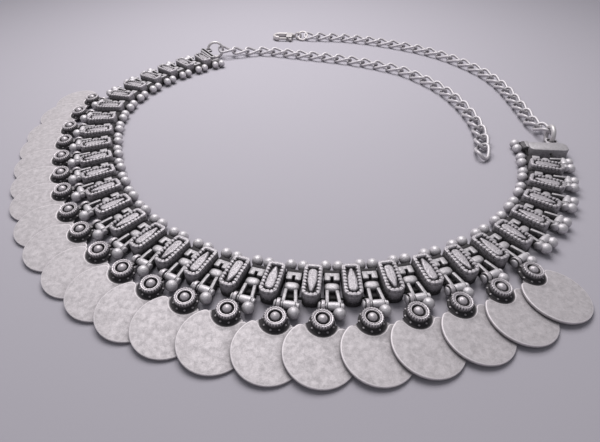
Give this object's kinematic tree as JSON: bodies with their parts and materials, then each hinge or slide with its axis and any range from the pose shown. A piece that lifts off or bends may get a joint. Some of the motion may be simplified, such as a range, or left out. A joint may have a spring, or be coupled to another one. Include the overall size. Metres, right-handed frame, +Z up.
{
  "type": "kuchi tribal necklace",
  "caption": "Folk collar necklace of boxed links, paired balls and overlapping bossed discs, with two link chains and an open lobster clasp, lying flat.",
  "frame": {"origin": "middle of the necklace as it lies, on the surface that it lies on", "axes": "+Z up from the surface; +Y from the middle of the disc row towards the clasp, the longest way across; +X towards the side where the chains lie"},
  "size_m": [0.1986, 0.2128, 0.0085],
  "materials": {
    "frame_metal": "cast white metal, antiqued dark in the recesses",
    "ball_metal": "polished cast white metal, antiqued between the links",
    "pendant_metal": "matt brushed white metal with bright edges",
    "ring_metal": "polished white metal wire",
    "chain_metal": "polished white metal curb links, slightly darkened",
    "clasp_metal": "polished white metal",
    "thread": "dark waxed thread, hidden in the links"
  },
  "bodies": {
    "necklace": {"ball_links_left": "ball_metal", "ball_links_right": "ball_metal", "chain_left": "chain_metal", "chain_right": "chain_metal", "clasp_body": "clasp_metal", "clasp_ring": "ring_metal", "end_bar_left": "ball_metal", "end_bar_right": "ball_metal", "frame_links_left": "frame_metal", "frame_links_right": "frame_metal", "inner_thread": "thread", "jump_ring_left": "ring_metal", "jump_ring_right": "ring_metal", "outer_thread": "thread", "pendant_01": "pendant_metal", "pendant_02": "pendant_metal", "pendant_03": "pendant_metal", "pendant_04": "pendant_metal", "pendant_05": "pendant_metal", "pendant_06": "pendant_metal", "pendant_07": "pendant_metal", "pendant_08": "pendant_metal", "pendant_09": "pendant_metal", "pendant_10": "pendant_metal", "pendant_11": "pendant_metal", "pendant_12": "pendant_metal", "pendant_13": "pendant_metal", "pendant_14": "pendant_metal", "pendant_15": "pendant_metal", "pendant_16": "pendant_metal", "pendant_17": "pendant_metal", "pendant_18": "pendant_metal", "pendant_19": "pendant_metal", "pendant_20": "pendant_metal", "pendant_21": "pendant_metal"},
    "lever": {"clasp_lever": "clasp_metal"}
  },
  "joints": [
    {"name": "lever_hinge", "type": "hinge", "parent": "necklace", "child": "lever", "pos_m": [-0.00125, 0.10025, 0.0014], "axis": [0, 0, 1], "range_deg": [-25, 0], "stiffness_Nm_per_rad": 0.004}
  ]
}
